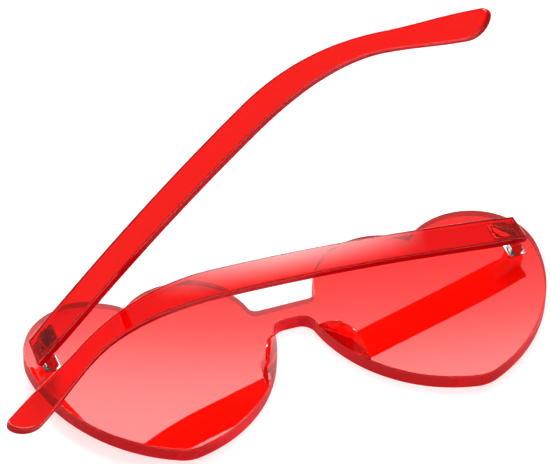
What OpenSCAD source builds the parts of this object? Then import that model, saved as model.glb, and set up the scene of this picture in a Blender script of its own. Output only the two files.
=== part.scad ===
// Heart shaped sunglasses: a rimless one-piece clear red front, two temples, small metal hinges.
// The glasses lie on their outer face, as on a table: X runs to the wearer's right, Y to the tops
// of the hearts, Z up to the wearer's side. The origin is on the outer face, in the mirror plane,
// on the line through the widest places of the hearts.

/* [Front] */
// Width of the front from outer edge to outer edge
front_w = 146.8; // [143:0.2:152]
// Thickness of the clear plate
front_t = 4.4; // [3.6:0.1:5]
// Radius to which the plate is bent round a line along Y
front_bend_r = 1110; // [900:10:1600]
// Radius of each of the two lobes at the top of a heart
lobe_r = 18.9; // [18:0.1:19.6]
// Distance from the middle of a heart to the centre of a lobe
lobe_off = 13.2; // [12.6:0.1:14]
// Drop from the centres of the lobes to the lowest point of a heart
heart_drop = 42.1; // [40:0.1:44]
// Radius of the outer side of a heart
outer_side_r = 46; // [43:0.5:50]
// Radius of the inner side of a heart, from the nose arch to the tip
inner_side_r = 43; // [41:0.5:47]
// Radius of the rounded lower tip of a heart
tip_r = 9.6; // [8:0.2:12]
// Height of the bridge's upper edge over the centres of the lobes
bridge_top = 1.4; // [0.4:0.1:3]
// Depth of the bridge from its upper edge down to the nose arch
bridge_h = 5.7; // [4.8:0.1:7]
// Radius of the inside corners where the bridge meets the hearts
bridge_corner_r = 2.2; // [1:0.1:3]
// Half the width of the nose arch
arch_half_w = 5.9; // [5.4:0.1:6.6]
// Radius of the two upper corners of the nose arch
arch_corner_r = 4; // [3.2:0.1:4.8]

/* [Nose pads] */
// Length of a pad's foot along the nose edge
pad_len = 19.6; // [17:0.2:22]
// Width of a pad's foot on the back face
pad_w = 4.3; // [3.8:0.1:4.8]
// Height of a pad over the back face
pad_h = 5.2; // [4.4:0.1:5.6]
// Slope of the side that meets the nose, measured from upright
pad_nose_angle = 27; // [20:1:32]
// Slope of the side away from the nose, measured from upright
pad_far_angle = 15; // [8:1:20]
// Drop of a pad's middle below the centres of the lobes
pad_drop = 18.4; // [17:0.2:20]

/* [Temples] */
// Length of a temple along its middle line
temple_len = 180; // [165:1:190]
// Height of the temple at its hinge end
temple_end_h = 8.6; // [7.8:0.1:9.4]
// Height of the temple along its straight run
temple_mid_h = 9.5; // [8.6:0.1:10.4]
// Height of the temple in the ear bend
temple_neck_h = 5.4; // [5:0.1:7]
// Height of the temple near its rounded tip
temple_tip_h = 7.4; // [7:0.1:9]
// Thickness of the temple at its hinge end
temple_t = 2.4; // [2.1:0.1:3]
// Thickness of the temple at its tip
temple_tip_t = 2.1; // [1.8:0.1:2.4]
// Run from the hinge end to where the temple reaches its full height
temple_swell = 10.6; // [8:0.2:20]
// Angle by which the temple drops from the hinge
temple_drop_angle = 3.6; // [2:0.2:5.4]
// Run from the hinge end to the start of the long shallow bend
sweep_start = 25.6; // [20:0.2:36]
// Radius of the long shallow bend
sweep_r = 668; // [600:4:740]
// Drop of the temple where the ear bend starts
sweep_end_angle = 9.4; // [8.4:0.2:10.4]
// Drop of the temple behind the ear bend
ear_angle = 42.4; // [38:0.2:46]
// Radius of the ear bend along the middle of the temple
ear_r = 88.4; // [80:0.4:94]
// Radius of the tip's small upper corner
tip_corner_r = 2; // [1.4:0.1:2.8]
// Length over which the tip's lower corner is rounded, as a quarter of an ellipse
tip_round_len = 6.9; // [5:0.1:8]

/* [Hinges] */
// Distance from a hinge pin to the outer edge of the front
pin_inset = 6.5; // [6:0.1:8]
// Drop of the hinge's middle below the centres of the lobes
pin_drop = 1.1; // [0:0.1:2]
// Height of the pin's axis over the back face
pin_off = 1.5; // [1.45:0.05:1.8]
// Outer radius of the hinge barrel
barrel_r = 1.35; // [1.2:0.05:1.4]
// Height of the whole barrel
barrel_h = 5.4; // [5:0.1:6]
// Height of the front leaf's middle knuckle
knuckle_h = 2.2; // [1.8:0.1:2.6]
// Radius of the hinge screw's shank
screw_r = 0.6; // [0.5:0.05:0.7]
// Radius of the hinge screw's head
screw_head_r = 1; // [0.9:0.05:1.1]
// Height of the hinge screw's head
screw_head_h = 0.6; // [0.4:0.1:0.8]
// Distance from the pin's axis to the inner face of the temple
temple_off = 4.3; // [4.1:0.1:5]
// Length of the metal inlay in the front along X
inlay_w = 4.8; // [4:0.1:5.4]
// Depth of the metal inlay in the front
inlay_t = 1.2; // [0.8:0.1:1.6]
// Radius of the metal inlay's corners
inlay_corner_r = 0.8; // [0.5:0.1:1.2]
// Length of the leaf plate on the temple
leaf_len = 8.4; // [7.6:0.1:9.4]
// Thickness of the leaf plate on the temple
leaf_t = 0.8; // [0.6:0.1:1]
// Distance from the pin's axis to the near end of the leaf plate
leaf_start = 0.2; // [0:0.1:0.6]
// Reach of a temple leaf's ears along the temple
ear_w = 4; // [3:0.1:5]
// Angle under the pin's axis at which the edge of an ear leaves its round end
ear_edge_angle = 45; // [30:5:60]
// Radius of the round ribbed anchor in the temple
anchor_r = 3.3; // [2.8:0.1:3.5]
// Depth of the round ribbed anchor in the temple
anchor_t = 1.1; // [0.8:0.1:1.3]
// Number of ribs round the anchor
anchor_ribs = 12; // [8:1:16]
// Distance from the pin's axis to the middle of the anchor
anchor_run = 5.2; // [4.6:0.1:6]
// Angle between the left temple and the front as it lies
left_open_angle = 53.4; // [48:0.2:60]
// Angle between the right temple and the front as it lies
right_open_angle = 10.6; // [9:0.2:14]

/* [Hidden] */

// Clearances and overruns
run_gap = 0.05;
pocket_gap = 0.05;
over = 1;

// Facets of round shapes, flat strips on each half of the bent plate, steps along a temple's edges
$fn = 360;
small_fn = 48;
bend_steps = 24;
step_len = 2.2;

// Share by which a wedge that trims a round side reaches past it
reach_share = 1.3;

// Point on the way from a to b, so far from a
function toward(a, b, far) = a + (b - a) * far / norm(b - a);

// Point at distance ra from a and rb from b, to the right of the way from a to b
function meet(a, ra, b, rb) =
  let (
    far = norm(b - a),
    along = (far * far + ra * ra - rb * rb) / (2 * far),
    aside = sqrt(ra * ra - along * along),
    way = (b - a) / far
  )
  a + way * along + [way[1], -way[0]] * aside;

// Smooth rise from 0 to 1
function rise(k) =
  let (c = max(0, min(1, k)))
  c * c * (3 - 2 * c);

// Height of the bent back face over the table, at a distance x from the mirror plane
back_bend_r = front_bend_r - front_t;
function bent_z(r, x) = front_bend_r - sqrt(r * r - x * x);
function back_z(x) = bent_z(back_bend_r, x);

// Outline of a heart: centres of its lobes, of its tip, of the arch's corner and of its sides
heart_x = front_w / 2 - lobe_r - lobe_off;
outer_lobe_c = [heart_x + lobe_off, 0];
inner_lobe_c = [heart_x - lobe_off, 0];
tip_c = [heart_x, tip_r - heart_drop];
arch_top = bridge_top - bridge_h;
arch_corner_c = [arch_half_w - arch_corner_r, arch_top - arch_corner_r];
outer_side_c = meet(outer_lobe_c, outer_side_r - lobe_r, tip_c, outer_side_r - tip_r);
inner_side_c = meet(tip_c, inner_side_r - tip_r, arch_corner_c, inner_side_r + arch_corner_r);
arch_foot_y = toward(arch_corner_c, inner_side_c, arch_corner_r)[1];
bridge_corner_c = [
  inner_lobe_c[0] - sqrt(pow(lobe_r + bridge_corner_r, 2) - pow(bridge_top + bridge_corner_r, 2)),
  bridge_top + bridge_corner_r
];

// Places of the hinge: distance from the mirror plane and height of the pin, length of an ear
pin_x = front_w / 2 - pin_inset;
pin_z = back_z(pin_x) + pin_off;
ear_h = (barrel_h - knuckle_h) / 2 - run_gap;
inlay_floor = back_z(pin_x) - inlay_t;

// Middle line of a temple: distance from the pin, drop and direction after a run s along it
sweep_len = sweep_r * (sweep_end_angle - temple_drop_angle) * PI / 180;
ear_start = sweep_start + sweep_len;
ear_len = ear_r * (ear_angle - sweep_end_angle) * PI / 180;
function temple_dir(s) =
  s < sweep_start ? temple_drop_angle
  : s < ear_start ? temple_drop_angle + (s - sweep_start) / sweep_r * 180 / PI
  : s < ear_start + ear_len ? sweep_end_angle + (s - ear_start) / ear_r * 180 / PI
  : ear_angle;
function straight(s, a) = s * [cos(a), -sin(a)];
function bend(r, from_a, to_a) = r * [sin(to_a) - sin(from_a), cos(to_a) - cos(from_a)];
function temple_mid(s) =
  straight(min(s, sweep_start), temple_drop_angle)
  + (s > sweep_start ? bend(sweep_r, temple_drop_angle, min(temple_dir(s), sweep_end_angle)) : [0, 0])
  + (s > ear_start ? bend(ear_r, sweep_end_angle, temple_dir(s)) : [0, 0])
  + (s > ear_start + ear_len ? straight(s - ear_start - ear_len, ear_angle) : [0, 0]);

// Height of a temple across its middle line: full, drawn in at the ear bend, full again at the tip
neck_s = ear_start + ear_len;
tip_s = temple_len - tip_round_len;
function temple_h(s) =
  s < ear_start
  ? temple_end_h + (temple_mid_h - temple_end_h) * rise(s / temple_swell)
  : s < neck_s
  ? temple_mid_h + (temple_neck_h - temple_mid_h) * rise((s - ear_start) / ear_len)
  : temple_neck_h + (temple_tip_h - temple_neck_h) * rise((s - neck_s) / (tip_s - neck_s));

// The tip's corners are rounded, so half the height shrinks over the last stretch of an edge: a
// quarter of a circle at the upper corner, a quarter of an ellipse at the lower one
tip_round_h = temple_tip_h - tip_corner_r;
function corner_len(side) = side > 0 ? tip_corner_r : tip_round_len;
function corner_h(side) = side > 0 ? tip_corner_r : tip_round_h;
function tip_cut(s, side) =
  let (k = max(0, min(1, (s - temple_len + corner_len(side)) / corner_len(side))))
  corner_h(side) * (1 - sqrt(1 - k * k));
function temple_edge(s, side) =
  let (a = temple_dir(s))
  temple_mid(s) + side * (temple_h(s) / 2 - tip_cut(s, side)) * [sin(a), cos(a)];

// Places along a temple's edge: even steps up to the rounded corner, then even angles round it
run_steps = ceil(tip_s / step_len);
tip_steps = 12;
function stations(side) =
  let (turn_s = temple_len - corner_len(side))
  concat(
    [for (i = [0:run_steps]) i / run_steps * turn_s],
    [for (i = [1:tip_steps]) turn_s + corner_len(side) * sin(90 * i / tip_steps)]
  );

// A copy on each side of the mirror plane
module both_sides() {
  children();
  mirror([1, 0, 0]) children();
}

// Flat shape with rounded corners, round the origin
module rounded_rect(w, h, r) {
  square([w - 2 * r, h], center = true);
  square([w, h - 2 * r], center = true);
  for (x = [-1, 1], y = [-1, 1])
    translate([x * (w / 2 - r), y * (h / 2 - r)]) circle(r);
}

// Cylinder along Y, round the origin
module cross_cylinder(r, h) {
  rotate([90, 0, 0]) cylinder(r = r, h = h, center = true);
}

// Everything over the surface of radius r that is bent round the same line as the front
module over_bend(r) {
  half = front_w / 2 + over;
  top = back_z(half) + pad_h + over;
  rotate([90, 0, 0])
    linear_extrude(height = 2 * (heart_drop + over), center = true)
      polygon(concat(
        [for (i = [-bend_steps:bend_steps])
          let (x = i / bend_steps * half) [x, bent_z(r, x)]],
        [[half, top], [-half, top]]
      ));
}

// Moves what is drawn round the pin's axis, at the middle of the hinge, to the right hinge
module at_pin() {
  translate([pin_x, -pin_drop, pin_z]) children();
}

// Outline of the right heart: two lobes, a tip, and two sides as a lens trimmed to a wedge
module heart_outline() {
  translate(outer_lobe_c) circle(lobe_r);
  translate(inner_lobe_c) circle(lobe_r);
  translate(tip_c) circle(tip_r);
  intersection() {
    translate(outer_side_c) circle(outer_side_r);
    translate(inner_side_c) circle(inner_side_r);
    polygon([
      outer_lobe_c,
      inner_lobe_c,
      toward(inner_side_c, arch_corner_c, reach_share * inner_side_r),
      toward(inner_side_c, tip_c, reach_share * inner_side_r),
      tip_c,
      toward(outer_side_c, tip_c, reach_share * outer_side_r),
      toward(outer_side_c, outer_lobe_c, reach_share * outer_side_r)
    ]);
  }
}

// Fillet where the bridge's upper edge meets the right heart
module bridge_fillet() {
  difference() {
    polygon([bridge_corner_c, [bridge_corner_c[0], bridge_top], inner_lobe_c]);
    translate(bridge_corner_c) circle(bridge_corner_r);
  }
}

// Outline of the whole front, with the nose arch cut from the bridge
module front_outline() {
  difference() {
    union() {
      both_sides() {
        heart_outline();
        bridge_fillet();
      }
      translate([-inner_lobe_c[0], arch_foot_y])
        square([2 * inner_lobe_c[0], bridge_top - arch_foot_y]);
    }
    both_sides() translate(arch_corner_c) circle(arch_corner_r);
    translate([-arch_corner_c[0], arch_top - 2 * arch_corner_r])
      square([2 * arch_corner_c[0], 2 * arch_corner_r]);
  }
}

// The front: both hearts and the bridge, one clear plate bent a little round the face
module front() {
  color([0.93, 0.04, 0.05, 0.6])
    difference() {
      intersection() {
        translate([0, 0, -over])
          linear_extrude(height = back_z(front_w / 2) + 2 * over) front_outline();
        over_bend(front_bend_r);
      }
      over_bend(back_bend_r);
      both_sides() inlay(pocket_gap, front_t);
    }
}

// Bright metal inlay of the front leaf, or with a gap the pocket that holds it
module inlay(gap, top) {
  translate([pin_x, -pin_drop, inlay_floor])
    linear_extrude(height = inlay_t + top)
      rounded_rect(inlay_w + 2 * gap, barrel_h + 2 * gap, inlay_corner_r + gap);
}

// Nose pad: a fin on the nose edge, flush with the plate's edge there. Both its sides are cones
// that lean to each other, and its crest is an arc
pad_end_angle = asin(pad_len / 2 / inner_side_r);
pad_mid_angle = 180 + asin((pad_drop + inner_side_c[1]) / inner_side_r);
pad_chord_r = inner_side_r * cos(pad_end_angle);
pad_bulge = pad_w - inner_side_r + pad_chord_r;
pad_far_r = (pow(pad_len / 2, 2) + pow(pad_bulge, 2)) / (2 * pad_bulge);
pad_crest_r = (pow(pad_len / 2, 2) + pow(pad_h, 2)) / (2 * pad_h);
pad_seat_z = back_z(inner_side_c[0] + inner_side_r * cos(pad_mid_angle));
module leaning_side(r, slope) {
  translate([0, 0, -over])
    cylinder(r1 = r + over * tan(slope), r2 = r - 2 * pad_h * tan(slope), h = 2 * pad_h + over);
}
module nose_pad() {
  color([0.88, 0.02, 0.04, 0.7])
    intersection() {
      over_bend(back_bend_r);
      translate([inner_side_c[0], inner_side_c[1], pad_seat_z])
        rotate([0, 0, pad_mid_angle])
          intersection() {
            leaning_side(inner_side_r, pad_nose_angle);
            translate([pad_chord_r - pad_bulge + pad_far_r, 0, 0])
              leaning_side(pad_far_r, pad_far_angle);
            translate([pad_chord_r, 0, pad_h - pad_crest_r])
              rotate([0, 90, 0])
                cylinder(r = pad_crest_r, h = 2 * (pad_w + pad_h), center = true);
          }
    }
}

// Side view of a temple, with the pin's axis at the origin and the tip towards -X
module temple_side() {
  ends = stations(-1);
  polygon(concat(
    [for (s = stations(1)) side_point(s, 1)],
    [for (i = [len(ends) - 1:-1:0]) side_point(ends[i], -1)]
  ));
}
function side_point(s, side) =
  let (p = temple_edge(s, side))
  [-p[0], p[1]];

// Top view of a temple: its inner face is flat, its outer face comes in towards the tip
module temple_top() {
  polygon([
    [over, temple_off],
    [over, temple_off + temple_t],
    [0, temple_off + temple_t],
    [-temple_len, temple_off + temple_tip_t],
    [-temple_len, temple_off]
  ]);
}

// Temple as folded flat on the right, round the pin's axis, with a seat for the round anchor
module temple_shape() {
  difference() {
    intersection() {
      translate([0, 0, temple_off - over])
        linear_extrude(height = temple_t + 2 * over) temple_side();
      translate([0, temple_len, 0])
        rotate([90, 0, 0])
          linear_extrude(height = 2 * temple_len) temple_top();
    }
    translate([-anchor_run, 0, temple_off - over])
      cylinder(r = anchor_r + pocket_gap, h = anchor_t + over);
  }
}

// Puts what is drawn as folded flat to the pose of the right or the left temple
module right_pose() {
  at_pin() rotate([0, right_open_angle, 0]) children();
}
module left_pose() {
  mirror([1, 0, 0]) at_pin() rotate([0, left_open_angle, 0]) children();
}
module temple_right() {
  color([0.9, 0.03, 0.04, 0.65]) right_pose() temple_shape();
}
module temple_left() {
  color([0.9, 0.03, 0.04, 0.65]) left_pose() temple_shape();
}

// Leaf of the front: a flush inlay with one upright knuckle in the middle of the barrel
module front_leaf() {
  color([0.82, 0.82, 0.84])
    difference() {
      union() {
        difference() {
          inlay(0, front_t);
          over_bend(back_bend_r);
        }
        at_pin() {
          cross_cylinder(barrel_r, knuckle_h);
          translate([-barrel_r, -knuckle_h / 2, inlay_floor - pin_z])
            cube([2 * barrel_r, knuckle_h, pin_z - inlay_floor]);
        }
      }
      at_pin() cross_cylinder(screw_r, barrel_h);
    }
}

// Leaf of the temple as folded flat on the right: two ears, a plate and a ribbed round anchor
module ear_side() {
  circle(barrel_r);
  polygon([
    [barrel_r, 0],
    [-leaf_start, temple_off - leaf_t],
    [-ear_w, temple_off - leaf_t],
    -barrel_r * [cos(ear_edge_angle), sin(ear_edge_angle)]
  ]);
}
module anchor() {
  rib_r = anchor_r * sin(90 / anchor_ribs);
  translate([-anchor_run, 0, temple_off]) {
    cylinder(r = anchor_r - rib_r, h = anchor_t);
    for (i = [0:anchor_ribs - 1])
      rotate([0, 0, i * 360 / anchor_ribs])
        translate([anchor_r - rib_r, 0, 0]) cylinder(r = rib_r, h = anchor_t, $fn = small_fn);
  }
}
module temple_leaf_shape() {
  difference() {
    union() {
      for (side = [-1, 1])
        translate([0, side * (barrel_h - ear_h) / 2 + ear_h / 2, 0])
          rotate([90, 0, 0])
            linear_extrude(height = ear_h) ear_side();
      translate([-leaf_start - leaf_len, -barrel_h / 2, temple_off - leaf_t])
        cube([leaf_len, barrel_h, leaf_t]);
      anchor();
    }
    cross_cylinder(screw_r + run_gap, barrel_h + 2 * over);
    translate([0, barrel_h / 2, 0])
      cross_cylinder(screw_head_r + run_gap, 2 * (screw_head_h + run_gap));
  }
}
module temple_leaf_right() {
  color([0.82, 0.82, 0.84]) right_pose() temple_leaf_shape();
}
module temple_leaf_left() {
  color([0.82, 0.82, 0.84]) left_pose() temple_leaf_shape();
}

// Hinge screw: shank through all three knuckles, head sunk in the upper ear
module hinge_screw() {
  color([0.75, 0.75, 0.77])
    at_pin() {
      cross_cylinder(screw_r, barrel_h);
      translate([0, (barrel_h - screw_head_h) / 2, 0]) cross_cylinder(screw_head_r, screw_head_h);
    }
}

front();
nose_pad();  // nose_pad_right
mirror([1, 0, 0]) nose_pad();  // nose_pad_left
temple_right();
temple_left();
front_leaf();  // front_leaf_right
mirror([1, 0, 0]) front_leaf();  // front_leaf_left
temple_leaf_right();
temple_leaf_left();
hinge_screw();  // hinge_screw_right
mirror([1, 0, 0]) hinge_screw();  // hinge_screw_left
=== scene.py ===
# %% [markdown]
# # Heart shaped sunglasses
#
# Clear red sunglasses lie on their outer face on a white table. The wearer's right temple is
# folded across the back, the left one stands half open. This lesson dresses a CAD model of them:
# it gives the pieces rounded edges, clean shading and see-through plastic, and then sets up the
# table, the camera and the lamps.
#
# The CAD model comes first, because every piece takes its shape and its place from it.

# %% Load the CAD frame
import math

import bmesh
import bpy
from mathutils import Matrix, Vector


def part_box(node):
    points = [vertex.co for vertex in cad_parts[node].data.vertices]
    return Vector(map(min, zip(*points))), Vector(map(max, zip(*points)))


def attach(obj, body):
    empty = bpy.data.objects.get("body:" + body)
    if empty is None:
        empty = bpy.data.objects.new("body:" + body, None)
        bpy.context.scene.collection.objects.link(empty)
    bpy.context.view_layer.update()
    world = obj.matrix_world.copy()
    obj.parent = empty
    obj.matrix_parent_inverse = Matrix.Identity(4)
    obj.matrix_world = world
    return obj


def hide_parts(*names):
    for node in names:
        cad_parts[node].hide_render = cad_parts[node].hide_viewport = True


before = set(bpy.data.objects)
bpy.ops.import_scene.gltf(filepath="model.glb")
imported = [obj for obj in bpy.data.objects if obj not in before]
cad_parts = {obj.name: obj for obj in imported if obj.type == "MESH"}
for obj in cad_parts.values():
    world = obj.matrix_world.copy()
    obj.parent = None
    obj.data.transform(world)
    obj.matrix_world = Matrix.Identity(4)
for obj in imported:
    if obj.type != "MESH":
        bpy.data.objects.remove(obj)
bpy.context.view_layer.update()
print("CAD nodes:", sorted(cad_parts))

# %% [markdown]
# ## Materials
#
# A new material in Blender already holds one Principled shader. Both kinds of plastic, the metal
# and the table start from it, so a small helper hands out the material, its nodes and its shader.

# %% Start a material
def new_material(name):
    material = bpy.data.materials.new(name)
    material.use_nodes = True
    tree = material.node_tree
    print("Material:", name)
    return material, tree, tree.nodes["Principled BSDF"]


# %% [markdown]
# No polished surface is even. Tumbling leaves the plastic a little clearer here and duller there,
# and brushing leaves fine streaks on metal. A picture could say where, but it would need seams.
# A noise in the object's own space has none. It is mapped to a span of roughness: an even noise
# for the plastic, and a stretched one for the metal.

# %% Uneven polish
NOISE_DETAIL = 3.0
NOISE_LOW = 0.3
NOISE_HIGH = 0.7


def uneven(tree, shader, grain, stretch, polish):
    """Roughness that wanders over the object between the two values of polish."""
    place = tree.nodes.new("ShaderNodeTexCoord")
    scale = tree.nodes.new("ShaderNodeMapping")
    scale.inputs["Scale"].default_value = stretch
    noise = tree.nodes.new("ShaderNodeTexNoise")
    noise.inputs["Scale"].default_value = grain
    noise.inputs["Detail"].default_value = NOISE_DETAIL
    span = tree.nodes.new("ShaderNodeMapRange")
    span.inputs["From Min"].default_value = NOISE_LOW
    span.inputs["From Max"].default_value = NOISE_HIGH
    span.inputs["To Min"].default_value = polish[0]
    span.inputs["To Max"].default_value = polish[1]
    tree.links.new(place.outputs["Object"], scale.inputs["Vector"])
    tree.links.new(scale.outputs[0], noise.inputs["Vector"])
    tree.links.new(noise.outputs["Fac"], span.inputs["Value"])
    tree.links.new(span.outputs[0], shader.inputs["Roughness"])
    return noise


# %% [markdown]
# ### Clear red plastic
#
# The plastic bends light as acrylic does and tints what passes through it. Cycles doesn't look
# for lamps through a refracting face, and the table under the sunglasses would be dark. So rays
# that look for a lamp see a thin tinted face in place of the refracting one.

# %% A see-through plastic
PLASTIC_IOR = 1.49
PLASTIC_GRAIN = 60
SHADOW_TINT = (1.0, 0.82, 0.82, 1.0)


def see_through(name, colour, transmission, polish, gloss):
    """Plastic that refracts, and lets tinted light through to the table."""
    material, tree, shader = new_material(name)
    shader.inputs["Base Color"].default_value = colour
    shader.inputs["Transmission Weight"].default_value = transmission
    shader.inputs["IOR"].default_value = PLASTIC_IOR
    shader.inputs["Specular IOR Level"].default_value = gloss
    uneven(tree, shader, PLASTIC_GRAIN, (1, 1, 1), polish)
    clear = tree.nodes.new("ShaderNodeBsdfTransparent")
    clear.inputs["Color"].default_value = SHADOW_TINT
    path = tree.nodes.new("ShaderNodeLightPath")
    mix = tree.nodes.new("ShaderNodeMixShader")
    tree.links.new(path.outputs["Is Shadow Ray"], mix.inputs[0])
    tree.links.new(shader.outputs[0], mix.inputs[1])
    tree.links.new(clear.outputs[0], mix.inputs[2])
    tree.links.new(mix.outputs[0], tree.nodes["Material Output"].inputs["Surface"])
    return material


# %% [markdown]
# Light that leaves by a sawn edge has gone a long way through the plastic, so the edges of the
# real front and temples look deep crimson. The shader tints by face and not by distance. The
# edges therefore get a plastic of their own: deeper in colour, less clear and less glossy.

# %% The faces' plastic and the edges' plastic
plastic = see_through(
    "clear_red_plastic", colour=(0.77, 0.004, 0.0012, 1.0), transmission=1.0,
    polish=(0.012, 0.03), gloss=0.5,
)
edge_plastic = see_through(
    "clear_red_edge", colour=(0.82, 0.001, 0.008, 1.0), transmission=0.3,
    polish=(0.16, 0.3), gloss=0.0,
)
print("Plastics:", plastic.name, "and", edge_plastic.name)

# %% [markdown]
# ### Bright metal
#
# The hinges are small plated stampings. The streaks of their finish are drawn out along one axis
# by the stretch of the noise. The same noise lifts the surface by two hundredths of a millimetre
# at most, which breaks up the reflections. Lengths here are metres, as in Blender, so a value in
# millimetres is written with its unit.

# %% Bright metal
MM = 0.001
METAL_COLOUR = (0.6, 0.59, 0.58, 1.0)
METAL_GRAIN = 400
METAL_STRETCH = (1, 8, 1)
METAL_POLISH = (0.1, 0.3)
STREAK_STRENGTH = 0.15
STREAK_DEPTH = 0.02 * MM

metal, tree, shader = new_material("bright_metal")
shader.inputs["Base Color"].default_value = METAL_COLOUR
shader.inputs["Metallic"].default_value = 1.0
streaks = uneven(tree, shader, METAL_GRAIN, METAL_STRETCH, METAL_POLISH)
bump = tree.nodes.new("ShaderNodeBump")
bump.inputs["Strength"].default_value = STREAK_STRENGTH
bump.inputs["Distance"].default_value = STREAK_DEPTH
tree.links.new(streaks.outputs["Fac"], bump.inputs["Height"])
tree.links.new(bump.outputs[0], shader.inputs["Normal"])
print("Streaks up to", STREAK_DEPTH / MM, "mm deep")

# %% [markdown]
# Every CAD node gets its finish too. The hinge screws are shown as they come from CAD: plain
# turned pins with a flat head have nothing that a new mesh would add.

# %% Finishes of the CAD nodes
for name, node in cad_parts.items():
    finish = metal if "leaf" in name or "screw" in name else plastic
    node.data.materials.clear()
    node.data.materials.append(finish)
    print(name, "is", finish.name)

# %% [markdown]
# ## Helpers for the clear pieces
#
# See-through plastic shows every fault of its shading twice, on the near and on the far face. The
# CAD meshes could be rounded as they are, but their many thin triangles would show. So each clear
# piece starts from the outline of its CAD node and is built up again with few, clean faces.
# A CAD node's mesh is loose triangles, which are merged first.

# %% Copy a CAD node and keep one face
MERGE = 0.002 * MM


def node_copy(name):
    """The mesh of a CAD node as a bmesh with its doubles merged."""
    bm = bmesh.new()
    bm.from_mesh(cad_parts[name].data)
    bmesh.ops.remove_doubles(bm, verts=bm.verts, dist=MERGE)
    print(name, "has", len(bm.faces), "faces in CAD")
    return bm


def keep_one_face(bm, faces, spacing):
    """Deletes all but these faces, joins them, and thins out the outline's points."""
    kept = set(faces)
    bmesh.ops.delete(bm, geom=[f for f in bm.faces if f not in kept], context="FACES")
    bmesh.ops.dissolve_faces(bm, faces=list(bm.faces), use_verts=False)
    bmesh.ops.remove_doubles(bm, verts=bm.verts, dist=spacing)
    return bm.faces[:][0]


def drawn_points(bm, face):
    """Extrudes a face, keeps the first one too, and returns the new points."""
    made = bmesh.ops.extrude_face_region(bm, geom=[face], use_keep_orig=True)["geom"]
    return [g for g in made if isinstance(g, bmesh.types.BMVert)]


# %% [markdown]
# The real edges are sawn square and then polished, which takes the sharpness off. A bevel with a
# profile of one half is a quarter round on a square edge.

# %% Rounded edges
def bevel(bm, edges, width, segments, clamp=False):
    bmesh.ops.bevel(
        bm, geom=edges, offset=width, offset_type="OFFSET", segments=segments, profile=0.5,
        affect="EDGES", clamp_overlap=clamp, material=-1,
    )


# %% [markdown]
# Smooth shading spreads the rounding's slope into the flat faces beside it, and a mirror shows
# that as a dent. So the normals of a plate follow a rule: a flat face keeps its own normal up to
# its very edge, the sawn wall stays upright, and only the rounding between them turns.

# %% Normals for a plate with rounded edges
CREASE = math.radians(25)
FIRST_STEP = math.cos(math.radians(13))
SIDE_STEP = math.sqrt(1 - FIRST_STEP**2)
ON_FLAT = 0.995
ON_WALL = 0.02


def plate_normals(mesh, axis):
    """Corner normals of a flat plate that is square to axis, with rounded edges."""
    mesh.shade_smooth()
    mesh.set_sharp_from_angle(angle=CREASE)
    smooth = [corner.vector.copy() for corner in mesh.corner_normals]
    lean = [face.normal.dot(axis) for face in mesh.polygons]
    flat_at, wall_at = {}, set()
    for face, k in zip(mesh.polygons, lean):
        for v in face.vertices:
            if abs(k) > ON_FLAT:
                flat_at.setdefault(v, []).append(face.normal.copy())
            elif abs(k) < ON_WALL:
                wall_at.add(v)
    normals = []
    for face, k in zip(mesh.polygons, lean):
        for corner in face.loop_indices:
            v = mesh.loops[corner].vertex_index
            normal = smooth[corner]
            near = [n for n in flat_at.get(v, []) if n.dot(face.normal) > FIRST_STEP]
            if near:
                normal = near[0]
            elif v in wall_at and abs(k) < SIDE_STEP:
                normal = (normal - axis * normal.dot(axis)).normalized()
            normals.append(normal)
    return normals


# %% [markdown]
# The faces that stand along the plate's axis are its sawn edge, and get the second finish. Last,
# a finished mesh becomes an object that says which CAD body it moves with and which CAD nodes it
# is shown in place of.

# %% Sawn edges and finished pieces
SAWN = math.sin(math.radians(5))


def wall_faces(mesh, axis):
    """Gives the second finish to the faces along axis."""
    for face in mesh.polygons:
        face.material_index = int(abs(face.normal.dot(axis)) < SAWN)


def finish_piece(name, mesh, materials, body, nodes):
    """Makes the object, gives it its finish, and says what it rides on and stands for."""
    for material in materials:
        mesh.materials.append(material)
    piece = bpy.data.objects.new(name, mesh)
    bpy.context.scene.collection.objects.link(piece)
    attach(piece, body)
    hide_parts(*nodes)
    print(f"{name}: {len(mesh.polygons)} faces, moves with {body}")
    return piece


# %% [markdown]
# ## The front
#
# The real front is one plate, cut to two hearts and a bridge and bent a little round the face.
# It could be rounded on the bent shape, but the two faces would then be many facets that meet at
# small angles. It is made the way a workshop makes it: cut flat, rounded, and bent last.
# Bending is a plain rule between a point of the flat plate and one of the bent plate.

# %% Bend and flatten
BEND_R = 1110 * MM


def depth(co):
    """Distance of a point from the bent outer face."""
    return BEND_R - math.hypot(co.x, BEND_R - co.z)


def bent(co):
    """A point of the flat plate, on the bent one."""
    return Vector((co.x, co.y, BEND_R - math.sqrt((BEND_R - co.z) ** 2 - co.x**2)))


def flatten(bm):
    for v in bm.verts:
        v.co.z = depth(v.co)


low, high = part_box("front")
print("The bend lifts the ends by", round(bent(Vector((high.x, 0, 0))).z / MM, 2), "mm")

# %% [markdown]
# The outer face of the flattened node gives the outline. The pockets for the hinges are in the
# back face, so the outer face is whole. Extrusion raises it to the plate's thickness. The first
# face has to be kept, or the plate would be open below.

# %% Flat plate with rounded edges
FRONT_T = 4.4 * MM
EDGE_R = 0.35 * MM
EDGE_STEPS = 4
ON_FACE = 0.02 * MM
OUTLINE_STEP = 0.08 * MM

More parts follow.
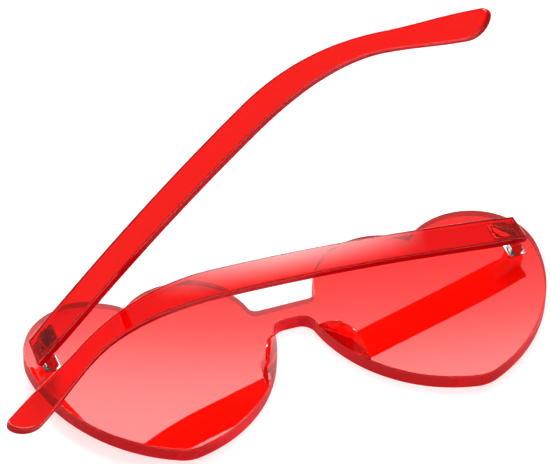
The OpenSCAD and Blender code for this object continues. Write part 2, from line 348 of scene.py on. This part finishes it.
plate = node_copy("front")
flatten(plate)
under = [f for f in plate.faces if all(abs(v.co.z) < ON_FACE for v in f.verts)]
outline = keep_one_face(plate, under, OUTLINE_STEP)
for v in plate.verts:
    v.co.z = 0
bmesh.ops.translate(plate, verts=drawn_points(plate, outline), vec=(0, 0, FRONT_T))
bmesh.ops.recalc_face_normals(plate, faces=plate.faces)
rims = [e for e in plate.edges if abs(e.verts[0].co.z - e.verts[1].co.z) < MERGE]
bevel(plate, rims, EDGE_R, EDGE_STEPS)
print("Plate:", len(plate.faces), "faces")

# %% [markdown]
# The nose pads are clear fins, bonded to the plate with a joint that can't be seen. Each gets
# rounded upper edges. Then its base is drawn down into the plate and moved past the nose edge by
# a hair, because two solids join cleanly only where no faces of theirs lie in one plane.

# %% Nose pads
PAD_ROOT = 0.7 * MM
PAD_OUT = 0.03 * MM
PAD_EDGE_R = 0.22 * MM
PAD_EDGE_STEPS = 2


def base_faces(pad):
    return [f for f in pad.faces if all(abs(v.co.z - FRONT_T) < ON_FACE for v in f.verts)]


def flat_pad(name):
    """A nose pad over the flat plate, with rounded upper edges and a root."""
    pad = node_copy(name)
    flatten(pad)
    bmesh.ops.dissolve_faces(pad, faces=base_faces(pad), use_verts=False)
    crest = [
        e for e in pad.edges
        if len(e.link_faces) == 2 and e.calc_face_angle() > CREASE
        and min(v.co.z for v in e.verts) > FRONT_T + EDGE_R
    ]
    bevel(pad, crest, PAD_EDGE_R, PAD_EDGE_STEPS)
    base = base_faces(pad)
    root = bmesh.ops.extrude_face_region(pad, geom=base)["geom"]
    root_points = [g for g in root if isinstance(g, bmesh.types.BMVert)]
    bmesh.ops.translate(pad, verts=root_points, vec=(0, 0, -PAD_ROOT))
    left_over = [f for f in base if f.is_valid]
    if left_over:
        bmesh.ops.delete(pad, geom=left_over, context="FACES_ONLY")
    middle = sum(v.co.x for v in pad.verts) / len(pad.verts)
    bmesh.ops.translate(pad, verts=pad.verts, vec=(-math.copysign(PAD_OUT, middle), 0, 0))
    bmesh.ops.recalc_face_normals(pad, faces=pad.faces)
    mesh = bpy.data.meshes.new(name + "_flat")
    pad.to_mesh(mesh)
    print(f"{name}: {len(mesh.polygons)} faces")
    return mesh


# %% [markdown]
# Plate and pads become one solid by a Boolean modifier. If they were only laid into each other,
# the refracting plastic would show the faces inside. The modifier's result is read back into a
# bmesh, and its helper objects are removed.

# %% Join the pads to the plate
def joined(bm, added):
    """The bmesh joined with other meshes."""
    mesh = bpy.data.meshes.new("blank")
    bm.to_mesh(mesh)
    blank = bpy.data.objects.new("blank", mesh)
    bpy.context.scene.collection.objects.link(blank)
    helpers = [blank]
    for other in added:
        tool = bpy.data.objects.new("tool", other)
        bpy.context.scene.collection.objects.link(tool)
        step = blank.modifiers.new("step", "BOOLEAN")
        step.operation = "UNION"
        step.solver = "EXACT"
        step.object = tool
        helpers.append(tool)
    made = blank.evaluated_get(bpy.context.evaluated_depsgraph_get()).to_mesh()
    result = bmesh.new()
    result.from_mesh(made)
    for helper in helpers:
        bpy.data.objects.remove(helper)
    return result


front = joined(plate, [flat_pad("nose_pad_left"), flat_pad("nose_pad_right")])
print("Front with pads:", len(front.faces), "faces")

# %% [markdown]
# A flat face can't bend between its corners. So the plate is cut into narrow strips first. At
# this radius a strip of 3 mm is off the true bend by a thousandth of a millimetre.

# %% Cut the front into strips
STRIP = 3 * MM
CUT_SNAP = MERGE / 4

cut_x = -STRIP * int(-low.x / STRIP)
while cut_x < high.x:
    everything = front.verts[:] + front.edges[:] + front.faces[:]
    bmesh.ops.bisect_plane(
        front, geom=everything, dist=CUT_SNAP, plane_co=(cut_x, 0, 0), plane_no=(1, 0, 0)
    )
    cut_x += STRIP
print("Strips are off the bend by", round(STRIP**2 / (8 * BEND_R) / MM, 4), "mm")

# %% [markdown]
# The normals are set while the plate is flat, where the rule for them is simple. They are then
# leaned by the slope of the bend at their own place, so that the mirror image in the back face
# runs on without a step from strip to strip.

# %% Bend the front
UPRIGHT = Vector((0, 0, 1))

front_mesh = bpy.data.meshes.new("front_clear")
front.to_mesh(front_mesh)
normals = plate_normals(front_mesh, UPRIGHT)
wall_faces(front_mesh, UPRIGHT)
for k, corner in enumerate(front_mesh.loops):
    co = front_mesh.vertices[corner.vertex_index].co
    slope = co.x / math.sqrt((BEND_R - co.z) ** 2 - co.x**2)
    normals[k] = (normals[k] - Vector((normals[k].z * slope, 0, 0))).normalized()
for v in front_mesh.vertices:
    v.co = bent(v.co)
front_mesh.normals_split_custom_set(normals)
finish_piece(
    "front_clear", front_mesh, (plastic, edge_plastic), "front",
    ["front", "nose_pad_left", "nose_pad_right"],
)

# %% [markdown]
# ## The temples
#
# A temple is a flat bar, cut along a curved outline and rounded at its edges. It stands at the
# angle of its hinge, so the two big faces are found by their area. The one on the side of the
# metal leaf is the inner face, and the other the outer one.

# %% Find the outer and the inner face
BIG_FACE = 5 * MM * MM
SAME_WAY = 0.9998


def middle_of(node):
    low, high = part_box(node)
    return (low + high) / 2


def flat_sides(bm, side):
    """The faces of a temple's outer side and those of its inner side."""
    areas = {}
    for f in bm.faces:
        if f.calc_area() > BIG_FACE:
            key = tuple(round(c, 2) for c in f.normal)
            areas[key] = areas.get(key, 0) + f.calc_area()
    ways = [Vector(key).normalized() for key in sorted(areas, key=areas.get)[-2:]]
    sides = [[f for f in bm.faces if f.normal.dot(way) > SAME_WAY] for way in ways]
    leaf_at = middle_of("temple_leaf_" + side)
    sides.sort(key=lambda faces: (leaf_at - faces[0].verts[0].co).dot(faces[0].normal))
    return sides


# %% [markdown]
# A temple could be a curve with a profile drawn along it, but the two flat sides would then be
# slightly wavy. So the outer face is drawn out to the plane of the inner one, as a saw cuts it
# from a sheet. That leaves out the seat of the round metal anchor, because the real anchor is
# pressed warm into the plastic and leaves no gap. The thickness falls a little towards the tip,
# and drawing to a plane keeps that.

# %% Temples
TEMPLE_EDGE_R = 0.5 * MM
TEMPLE_EDGE_STEPS = 5
WHOLE_SIDE = 100 * MM * MM


def temple_piece(side):
    node = "temple_" + side
    bm = node_copy(node)
    bm.normal_update()
    outer, inner = flat_sides(bm, side)
    biggest = max(inner, key=lambda f: f.calc_area())
    inner_at, in_way = biggest.verts[0].co.copy(), biggest.normal.copy()
    face = keep_one_face(bm, outer, OUTLINE_STEP)
    for v in drawn_points(bm, face):
        v.co -= in_way * (v.co - inner_at).dot(in_way)
    bmesh.ops.recalc_face_normals(bm, faces=bm.faces)
    rims = [e for e in bm.edges if max(f.calc_area() for f in e.link_faces) > WHOLE_SIDE]
    bevel(bm, rims, TEMPLE_EDGE_R, TEMPLE_EDGE_STEPS)
    mesh = bpy.data.meshes.new(node + "_clear")
    bm.to_mesh(mesh)
    mesh.normals_split_custom_set(plate_normals(mesh, in_way))
    wall_faces(mesh, in_way)
    return finish_piece(mesh.name, mesh, (plastic, edge_plastic), node, [node])


for side in ("left", "right"):
    temple_piece(side)

# %% [markdown]
# ## The hinges
#
# The leaves are small polished stampings. They could stay as they come from CAD, but a stamped
# edge is never quite sharp, and it is the edges that catch the light. A copy of each leaf gets
# slightly rounded ones. It is pressed into the plastic by a hair, so that metal and plastic touch
# with no gap to be seen. The CAD mesh splits its flat faces into triangles, which are joined
# before the bevel.

# %% Leaves
LEAF_EDGE_R = 0.1 * MM
LEAF_EDGE_STEPS = 2
PRESS = 0.03 * MM
FLAT = math.radians(0.6)


def leaf_piece(node, body, press):
    bm = node_copy(node)
    bmesh.ops.dissolve_limit(
        bm, angle_limit=FLAT, verts=bm.verts, edges=bm.edges, use_dissolve_boundaries=False
    )
    sharp = [e for e in bm.edges if len(e.link_faces) == 2 and e.calc_face_angle() > CREASE * 2]
    bevel(bm, sharp, LEAF_EDGE_R, LEAF_EDGE_STEPS, clamp=True)
    bmesh.ops.translate(bm, verts=bm.verts, vec=press)
    mesh = bpy.data.meshes.new(node + "_metal")
    bm.to_mesh(mesh)
    mesh.shade_smooth()
    mesh.set_sharp_from_angle(angle=CREASE)
    return finish_piece(mesh.name, mesh, (metal,), body, [node])


# %% [markdown]
# The front's leaves lie in its back face and are pressed along Z. A temple's leaf is pressed
# along the temple's own thickness, which is the normal of its widest face, toward that face.

# %% Place the leaves
for side in ("left", "right"):
    leaf_piece("front_leaf_" + side, "front", (0, 0, PRESS))
    temple = bpy.data.objects["temple_" + side + "_clear"]
    widest = max(temple.data.polygons, key=lambda f: f.area)
    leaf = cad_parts["temple_leaf_" + side]
    middle = sum((v.co for v in leaf.data.vertices), Vector()) / len(leaf.data.vertices)
    way = widest.normal * math.copysign(1, (widest.center - middle).dot(widest.normal))
    leaf_piece("temple_leaf_" + side, "temple_" + side, way * PRESS)

# %% [markdown]
# ## Camera
#
# The camera looks down at about 43 degrees from the lower left. A long lens from a good metre
# away keeps the two hearts nearly alike in size. A camera can be aimed by a constraint, but here
# its three directions are known: its right, its down and its line of sight. They become its
# matrix, as Blender's camera looks along its own -Z with Y up.

# %% Camera
PHOTO_WIDTH = 550
FOCAL_IN_PIXELS = 4004.73
SENSOR_WIDTH = 36
NEAR = 0.05
FAR = 20.0
CAMERA_AT = Vector((-293.395, -718.234, 760.891)) * MM
CAMERA_RIGHT = Vector((0.935064, -0.353715, 0.023263))
CAMERA_DOWN = Vector((-0.226420, -0.646469, -0.728568))
CAMERA_AHEAD = Vector((0.272744, 0.675991, -0.684578))

cam_data = bpy.data.cameras.new("camera")
cam_data.sensor_width = SENSOR_WIDTH
cam_data.lens = FOCAL_IN_PIXELS / PHOTO_WIDTH * SENSOR_WIDTH
cam_data.clip_start = NEAR
cam_data.clip_end = FAR
camera = bpy.data.objects.new("camera", cam_data)
bpy.context.scene.collection.objects.link(camera)
facing = Matrix((CAMERA_RIGHT, -CAMERA_DOWN, -CAMERA_AHEAD)).transposed().to_4x4()
camera.matrix_world = Matrix.Translation(CAMERA_AT) @ facing
bpy.context.scene.camera = camera
print("Lens:", round(cam_data.lens, 1), "mm, from", round(CAMERA_AT.length, 2), "m")

# %% [markdown]
# ## Table
#
# The table is one big pale face. It lies a hair below the sunglasses, so that the two never share
# a plane.

# %% Table
TABLE_HALF = 4.0
TABLE_Z = -0.2 * MM

slab = bmesh.new()
bmesh.ops.create_grid(slab, x_segments=1, y_segments=1, size=TABLE_HALF)
floor_mesh = bpy.data.meshes.new("floor")
slab.to_mesh(floor_mesh)
floor = bpy.data.objects.new("floor", floor_mesh)
bpy.context.scene.collection.objects.link(floor)
floor.location.z = TABLE_Z
print("Table:", TABLE_HALF * 2, "m wide")

# %% [markdown]
# The table has to look white, but more light would wash out the red. So it gives a little white
# of its own, only to rays from the camera, from reflections and through the plastic. The lamps'
# light on it stays as it is, and so does the soft shadow. Two Maximum nodes say whether a ray is
# of one of the three kinds, and a Multiply node gives the strength of the glow.

# %% White for the table
TABLE_COLOUR = (0.82, 0.82, 0.82, 1.0)
TABLE_ROUGHNESS = 0.9
TABLE_GLOW = 0.4

white, tree, shader = new_material("white_table")
shader.inputs["Base Color"].default_value = TABLE_COLOUR
shader.inputs["Roughness"].default_value = TABLE_ROUGHNESS
shader.inputs["Specular IOR Level"].default_value = 0.0
shader.inputs["Emission Color"].default_value = (1, 1, 1, 1)
path = tree.nodes.new("ShaderNodeLightPath")
seen_or_through = tree.nodes.new("ShaderNodeMath")
seen_or_through.operation = "MAXIMUM"
or_mirrored = tree.nodes.new("ShaderNodeMath")
or_mirrored.operation = "MAXIMUM"
glow = tree.nodes.new("ShaderNodeMath")
glow.operation = "MULTIPLY"
glow.inputs[1].default_value = TABLE_GLOW
tree.links.new(path.outputs["Is Camera Ray"], seen_or_through.inputs[0])
tree.links.new(path.outputs["Is Transmission Ray"], seen_or_through.inputs[1])
tree.links.new(seen_or_through.outputs[0], or_mirrored.inputs[0])
tree.links.new(path.outputs["Is Glossy Ray"], or_mirrored.inputs[1])
tree.links.new(or_mirrored.outputs[0], glow.inputs[0])
tree.links.new(glow.outputs[0], shader.inputs["Emission Strength"])
floor.data.materials.append(white)

# %% [markdown]
# The rest of the room isn't built. An even, weak white all round stands for its walls and fills
# the shadows.

# %% World
ROOM_LIGHT = 0.22

world = bpy.data.worlds.new("studio")
bpy.context.scene.world = world
world.use_nodes = True
room = world.node_tree.nodes["Background"]
room.inputs["Color"].default_value = (1, 1, 1, 1)
room.inputs["Strength"].default_value = ROOM_LIGHT
print("Room light:", ROOM_LIGHT)

# %% [markdown]
# ## Lamps
#
# Polished plastic shows its lamps, so the lamps are shaped for what the faces show. The flat backs
# of the hearts are pink at their lower ends and red at their tops: they mirror the fading edge of
# a large soft box, which stands behind the sunglasses and over the table. A plain area lamp has
# one brightness and a sharp edge. A curve over the lamp's own surface gives it a soft one.

# %% A lamp's fading
def faded(tree, value, length, stops):
    """A number from 0 to 1 across the lamp, through stops of (distance, share)."""
    ramp = tree.nodes.new("ShaderNodeFloatCurve")
    curve = ramp.mapping.curves[0]
    points = [(at / length, share) for at, share in stops]
    curve.points[0].location = points[0]
    curve.points[1].location = points[-1]
    for point in points[1:-1]:
        curve.points.new(*point)
    ramp.mapping.update()
    tree.links.new(value, ramp.inputs["Value"])
    return ramp.outputs[0]


def product(tree, first, second):
    """The product of two outputs, from a Math node."""
    node = tree.nodes.new("ShaderNodeMath")
    node.operation = "MULTIPLY"
    tree.links.new(first, node.inputs[0])
    tree.links.new(second, node.inputs[1])
    return node


# %% [markdown]
# Both lamps stand square to one line from the sunglasses, because that makes their places in the
# reflections easy to work out. A lamp shines along its own -Z, so its Z axis is that line.

# %% A lamp's place
LAMP_AZIMUTH = math.radians(22.3)
LAMP_ELEVATION = math.radians(45)


def lamp_place(distance, tilt, height, aside):
    """A place square to the line, turned by tilt in its plane, then moved up and across."""
    a, e = LAMP_AZIMUTH, LAMP_ELEVATION
    toward = Vector((math.sin(a) * math.cos(e), math.cos(a) * math.cos(e), math.sin(e)))
    level = toward.cross(Vector((0, 0, 1))).normalized()
    steep = level.cross(toward)
    across = level * math.cos(tilt) + steep * math.sin(tilt)
    up = steep * math.cos(tilt) - level * math.sin(tilt)
    turn = Matrix((up.cross(toward), up, toward)).transposed().to_4x4()
    return Matrix.Translation(toward * distance + up * height + across * aside) @ turn


# %% [markdown]
# Blender spreads a lamp's power over its area. A power of pi times the area makes every point of
# it as bright as the number that its nodes give, so the brightness can be set there.

# %% A soft box
def soft_box(name, distance, tilt, size, foot, aside, radiance, up_stops, side_stops):
    """foot is the height of the lower edge over the line, aside the middle's place across. The
    stops fade the lamp upward and sideways."""
    width, height = size
    data = bpy.data.lights.new(name, "AREA")
    data.shape = "RECTANGLE"
    data.size, data.size_y = width, height
    data.energy = math.pi * width * height
    data.use_nodes = True
    tree = data.node_tree
    where = tree.nodes.new("ShaderNodeNewGeometry")
    split = tree.nodes.new("ShaderNodeSeparateXYZ")
    tree.links.new(where.outputs["Parametric"], split.inputs[0])
    upward = faded(tree, split.outputs["Y"], height, up_stops)
    sideways = faded(tree, split.outputs["X"], width, side_stops)
    both = product(tree, upward, sideways)
    full = tree.nodes.new("ShaderNodeMath")
    full.operation = "MULTIPLY"
    full.inputs[1].default_value = radiance
    tree.links.new(both.outputs[0], full.inputs[0])
    tree.links.new(full.outputs[0], tree.nodes["Emission"].inputs["Strength"])
    lamp = bpy.data.objects.new(name, data)
    lamp.matrix_world = lamp_place(distance, math.radians(tilt), foot + height / 2, aside)
    lamp.visible_camera = False
    bpy.context.scene.collection.objects.link(lamp)
    print(f"{name}: {width} x {height} m, brightest {radiance}")
    return lamp


# %% [markdown]
# The stops are distances from the large box's lower edge and shares of its brightness. Nearly
# all of the fading lies in 60 mm in the middle, which is all that the slightly bent hearts mirror.

# %% The large soft box
soft_box(
    "soft_box", distance=1.0, tilt=33, size=(1.6, 1.0), foot=-0.5, aside=0.0, radiance=6.0,
    up_stops=[
        (0.0, 0.0), (0.3, 0.0), (0.44, 0.02), (0.46, 0.07), (0.474, 0.105), (0.482, 0.14),
        (0.488, 0.2), (0.497, 0.32), (0.503, 0.5), (0.509, 0.68), (0.516, 0.85), (0.53, 0.97),
        (0.55, 1.0), (1.0, 1.0),
    ],
    side_stops=[(0.0, 1.0), (1.6, 1.0)],
)

# %% [markdown]
# The folded temple carries one long highlight along its upper edge. It is the image of a narrow
# strip lamp with soft ends. The strip stands 20 mm before the large box, because a lamp in the
# very same plane would be hidden by it.

# %% The strip lamp
soft_box(
    "strip_box", distance=0.98, tilt=-27.3, size=(0.15, 0.04), foot=-0.0795, aside=0.266,
    radiance=9.0,
    up_stops=[
        (0.0, 0.0), (0.01, 1.0), (0.022, 1.0), (0.027, 0.8), (0.032, 0.4), (0.037, 0.1),
        (0.04, 0.0),
    ],
    side_stops=[(0.0, 0.0), (0.05, 0.85), (0.075, 1.0), (0.1, 0.85), (0.15, 0.0)],
)

# %% [markdown]
# Light goes to and fro many times between the faces of clear pieces that lie over each other. A
# path that is cut off too early ends in black, so more bounces are allowed. The Standard view
# shows the colours as they were set.

# %% Bounces and view
MOST_BOUNCES = 64
GLOSSY_BOUNCES = 48

paths = bpy.context.scene.cycles
paths.max_bounces = MOST_BOUNCES
paths.glossy_bounces = GLOSSY_BOUNCES
paths.transmission_bounces = MOST_BOUNCES
bpy.context.scene.view_settings.view_transform = "Standard"
print("Bounces:", MOST_BOUNCES, "of them glossy at most", GLOSSY_BOUNCES)
